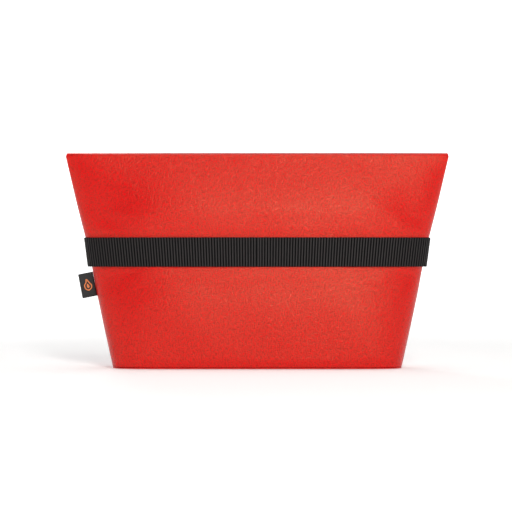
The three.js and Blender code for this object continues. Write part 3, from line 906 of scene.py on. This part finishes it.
def strap_anchor():
    """The box and cross of stitches that hold the strap to the back panel."""
    outer = STRAP_GAP + WEBBING - 0.08
    near, far, low, high = ANCHOR_FROM, ANCHOR_TO, 0.12, 0.88
    box = [(near, low, far, low), (near, high, far, high), (near, low, near, high), (far, low, far, high)]
    cross = [(near, low, far, high), (near, high, far, low)]
    rows = []
    for from_degrees, from_h, to_degrees, to_h in box + cross:
        t = np.linspace(0, 1, 60)
        degrees = from_degrees + (to_degrees - from_degrees) * t
        h = from_h + (to_h - from_h) * t
        path = strap_section(degrees, h, outer)
        normals = strap_section(degrees, h, outer + 1) - path
        rows.append(stitches(path, normals, pitch=2.9, length=2.3, radius=0.42))
    place(make_piece("strap_anchor_thread", rows, THREAD), "pouch", "thread", "strap_anchor_stitch")


# ---- Pull tapes and label ----


def pull_tape(side, word):
    """From the folded blanket up over the mouth and down to a tab with a folded hem."""
    low, high = box_mm(f"pull_tab_{word}")
    offset = 2 * TOUCH + BINDING + PULL_TAPE / 2 + PULL_TAPE_GAP
    inside, inside_z = -CLOTH - offset, box_mm(f"pull_tape_{word}")[0][2]
    path = hairpin(inside, inside_z, offset, low[2] + 1.3, MOUTH_Z, 46, 17)
    hem = (PULL_TAPE + 0.25) / 2
    turn = np.linspace(0, math.pi, 10)[1:]
    bend = np.stack([offset + hem * (1 - np.cos(turn)), path[-1, 1] - hem * np.sin(turn)], -1)
    back = np.stack([np.full(8, offset + 2 * hem), path[-1, 1] + np.linspace(1, TAB_HEM, 8)], -1)
    path = np.concatenate([path, bend, back])
    grid = over_mouth(path, low[0], high[0], 14)
    piece = make_piece(f"pull_tape_and_tab_{word}", [shell(grid, PULL_TAPE)], TAPE_BLACK)
    place(piece, None, "pull_tape", f"pull_tape_{word}", f"pull_tab_{word}")
    x = side * PULL_TAB_X
    start = np.array([x, depth_at(x, PULL_HINGE_Z - 0.5) + offset, PULL_HINGE_Z]) * MM
    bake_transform(piece)
    x = np.linspace(low[0] + 2, high[0] - 2, 40)
    outer = offset + 2 * hem + PULL_TAPE / 2 - 0.06
    rows = []
    for up in (3.0, 8.5):
        line = on_back(x, outer, low[2] + up)
        normals = on_back(x, outer + 1, low[2] + up) - line
        rows.append(stitches(line, normals, pitch=2.8, length=2.1, radius=0.3))
    place(make_piece(f"pull_tab_stitches_{word}", rows, THREAD), f"pull_tab_{word}", "thread")


def label_axes():
    """The label's root on the seam, its outward direction and the seam's downward direction."""
    half = LABEL_LENGTH / 2
    slope = (half_width(LABEL_Z + half) - half_width(LABEL_Z - half)) / LABEL_LENGTH
    down = unit(np.array([slope, 0, -1.0]))
    outward = unit(np.array([-1.0, 0, -slope]))
    return np.array([-half_width(LABEL_Z), 0, LABEL_Z]), outward, down


def on_label(out, along, face):
    """A point of the label: out from the seam, along from its middle, and towards the front by face."""
    root, outward, down = label_axes()
    out, along, face = np.broadcast_arrays(*(np.asarray(a, float) for a in (out, along, face)))
    curl = 0.5 * (out / LABEL_WIDTH) ** 2 * np.sin(along / 9 + 0.5)
    points = root + out[..., None] * outward + along[..., None] * down
    points[..., 1] -= face + curl
    return points


def side_label():
    """A folded ribbon sewn into the left seam, with a flame on each face."""
    ply = (LABEL_THICK - LABEL_PLY) / 2
    fold = hairpin(-ply, 0.35, ply, 0.35, LABEL_WIDTH - LABEL_THICK / 2, 24, 13)
    out, face = fold[:, 1], fold[:, 0] * (0.5 + 0.5 * smooth(fold[:, 1], 0, 3))
    along = spread(30, -LABEL_LENGTH / 2, LABEL_LENGTH / 2)
    grid = on_label(out[None], along[:, None], face[None])
    piece = make_piece("side_label_ribbon", [shell(grid, LABEL_PLY)], LABEL_BLACK)
    place(piece, None, "label", "side_label")
    start = on_label(0.3, 0, 0) * MM
    end = on_label(2.2, 0, 0) * MM
    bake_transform(piece)
    parts = flame(1) + flame(-1)
    place(make_piece("side_label_flame", parts, MARK_ORANGE), "label", "label")


def closed_curve(corners, count):
    """A smooth closed curve through corners, as points."""
    corners = np.array(corners, float)
    ahead = [np.roll(corners, -k, axis=0) for k in (-1, 0, 1, 2)]
    t = np.linspace(0, 1, count, endpoint=False)[None, :, None]
    before, start, end, after = (a[:, None] for a in ahead)
    bend = (end - before) * t + (2 * before - 5 * start + 4 * end - after) * t * t
    points = start + 0.5 * (bend + (3 * (start - end) + after - before) * t**3)
    return points.reshape(-1, 2)


# Corners of the flame, out from its middle and up.
FLAME_OUTLINE = (
    (0.9, 5.9),
    (1.6, 2.7),
    (3.6, 0.2),
    (3.2, -3.2),
    (0.3, -5.4),
    (-2.9, -3.6),
    (-3.4, -0.6),
    (-2.1, 1.3),
    (-1.0, 3.4),
)
FLAME_TONGUE = ((0.5, 1.4), (1.5, -1.3), (0.2, -3.4), (-1.4, -1.8))


def flame(face):
    """A plain flame: a pointed outline with a small solid tongue in it, as raised embroidery on one face."""
    outline = closed_curve(FLAME_OUTLINE, 14)
    outline = np.concatenate([outline, outline[:1]])
    direction = unit(np.gradient(outline, axis=0))
    normal = np.stack([-direction[:, 1], direction[:, 0]], -1)
    flat = outline[:, None] + normal[:, None] * np.linspace(-0.6, 0.6, 5)[None, :, None]
    tongue = closed_curve(FLAME_TONGUE, 10)
    tongue = np.concatenate([tongue, tongue[:1]])
    middle = np.array([0.15, -1.3])
    solid = middle + (tongue - middle)[:, None] * np.linspace(0.05, 1, 5)[None, :, None]
    level = face * (LABEL_THICK / 2 + TOUCH)
    centre = LABEL_WIDTH / 2 - 0.3
    surfaces = [on_label(centre + part[..., 0], -part[..., 1], level) for part in (flat, solid)]
    return [shell(surface, 0.34, rim=0.2) for surface in surfaces]


# ---- The folded blanket ----


def pleats(count, length, step, legs, turns):
    """A zigzag of straight legs joined by half turns, as (position, level)."""
    points = []
    radius = step / 2
    for k in range(count):
        level = (k - (count - 1) / 2) * step
        way = 1 if k % 2 == 0 else -1
        ends = way * (length / 2 - radius)
        points += [(position, level) for position in np.linspace(-ends, ends, legs)]
        if k < count - 1:
            for turn in np.linspace(0, math.pi, turns + 2)[1:-1]:
                position = ends + way * radius * math.sin(turn)
                points.append((position, level + radius * (1 - math.cos(turn))))
    return np.array(points)


def folded_blanket():
    """A square of glass cloth, pleated across and then along into a flat pack."""
    low, high = box_mm("folded_blanket")
    pitch = (high[1] - low[1] - 1.2) / FOLDS_ALONG
    layer = (pitch - 0.25) / FOLDS_ACROSS
    along = pleats(FOLDS_ALONG, BLANKET_SIDE / FOLDS_ALONG, pitch, 14, 7)
    across = pleats(FOLDS_ACROSS, BLANKET_SIDE / FOLDS_ACROSS, layer, 16, 5)
    direction = unit(np.gradient(along, axis=0))
    normal = np.stack([-direction[:, 1], direction[:, 0]], -1)
    z = along[:, 0][:, None] + normal[:, 0][:, None] * across[:, 1][None]
    y = along[:, 1][:, None] + normal[:, 1][:, None] * across[:, 1][None]
    x = np.broadcast_to(across[:, 0][None], y.shape)
    slack = 0.5 * np.sin(x / 37 + y / 5)
    middle = (low[2] + high[2]) / 2 + 0.3
    # The pack is drawn in a little on each side.
    grid = np.stack([x * 0.996, y * 0.97, z * 0.985 + middle + slack * smooth(z, 40, 80)], -1)
    piece = make_piece("glass_cloth_blanket", [shell(grid, BLANKET_CLOTH)], GLASS)
    place(piece, "pouch", "glass_cloth", "folded_blanket")


# ---- Stage ----


FLOOR_PROFILE = ((0.05, 0.0), (1.0, 0.0), (2.5, 0.0), (4.0, 0.0))  # radius and height, in metres
WALL_FOOT, WALL_RADIUS, WALL_TOP = 6.0, 7.0, 1.9
LIGHTS = (
    # name, place, size, power, colour
    ("key", (0.34, -1.8, 1.15), (0.30, 1.9), 30, (1.0, 0.98, 0.94)),
    ("fill", (-1.9, -1.3, 0.6), (0.8, 0.8), 1, (1, 1, 1)),
    ("top", (0.1, 0.2, 1.9), (1.2, 1.2), 12, (1, 1, 1)),
    ("back_key", (-0.7, 2.0, 1.2), (0.5, 0.9), 11, (1, 1, 1)),
)
AIM = (0, 0, 0.11)


def floor_material():
    """Pale and matt, with a faint glow that grows away from the middle."""
    floor = Shader("pale_floor", Roughness=0.9, Specular_IOR_Level=0.1, Emission_Color=(1, 1, 1, 1))
    position = floor.node("TexCoord", out=3)
    away = floor.node("VectorMath", position, out=1, operation="LENGTH")
    tone = floor.mix(floor.noise(position, 40), (0.86, 0.86, 0.86), (0.90, 0.90, 0.90))
    return floor.join(Base_Color=tone, Emission_Strength=floor.range(away, 0.5, 1.9, 0.30, 0.95))


def build_floor():
    """A round floor that curves up into a low wall, lower in front than behind."""
    curve = np.linspace(0, math.pi / 2, 12)
    profile = [(WALL_FOOT + math.sin(t), 1.0 - math.cos(t)) for t in curve]
    profile = [*FLOOR_PROFILE, *profile, (WALL_RADIUS, WALL_TOP)]
    sides = 64
    turns = np.linspace(0, 2 * math.pi, sides, endpoint=False)
    vertices = []
    for radius, height in profile:
        for t in turns:
            z = height * (0.76 + 0.24 * math.sin(t)) - 0.0006
            vertices.append((radius * math.cos(t), radius * math.sin(t), z))
    index = np.arange(len(vertices)).reshape(len(profile), sides)
    ahead = np.roll(index, -1, axis=1)
    faces = np.stack([index[:-1], index[1:], ahead[1:], ahead[:-1]], -1).reshape(-1, 4).tolist()
    faces.append(index[0].tolist())
    mesh = bpy.data.meshes.new("floor")
    mesh.from_pydata(vertices, [], faces)
    mesh.polygons.foreach_set("use_smooth", [True] * len(mesh.polygons))
    mesh.materials.append(floor_material())
    in_scene("floor", mesh)


def build_lights():
    """A faint even light from all round, and soft rectangular lights aimed at the pouch."""
    world = bpy.data.worlds.new("studio")
    world.use_nodes = True
    background = world.node_tree.nodes["Background"]
    background.inputs["Color"].default_value = (1, 1, 1, 1)
    background.inputs["Strength"].default_value = 0.08
    bpy.context.scene.world = world
    for name, location, size, power, colour in LIGHTS:
        light = bpy.data.lights.new(name, "AREA")
        light.shape = "RECTANGLE"
        light.size, light.size_y = size
        light.energy = power
        light.color = colour
        lamp = in_scene(name, light)
        lamp.location = location
        x, y, z = np.array(location) - np.array(AIM)
        lamp.rotation_euler = (math.atan2(math.hypot(x, y), z), 0, math.atan2(y, x) + math.pi / 2)


def build_camera():
    """Level, in front of the pouch, on a long lens."""
    low, high = cad_box
    camera = in_scene("camera", bpy.data.cameras.new("camera"))
    camera.location = (-0.0013, -1.6, (low.z + high.z) / 2 + 0.004)
    camera.rotation_euler = (math.pi / 2, 0, 0)
    camera.data.sensor_width = 36
    camera.data.lens = 108.3
    bpy.context.scene.camera = camera
    bpy.context.scene.view_settings.view_transform = "Standard"


front_and_flap()
back_cloth()
base_cloth()
mouth_binding()
seam_binding(-1, "left_seam_binding")
seam_binding(1, "right_seam_binding")
base_binding()
flap_edge_binding()
flap_closure()
strap_band()
strap_tail()
strap_closure()
strap_anchor()
for side, word in ((-1, "left"), (1, "right")):
    pull_tape(side, word)
side_label()
folded_blanket()
build_floor()
build_lights()
build_camera()
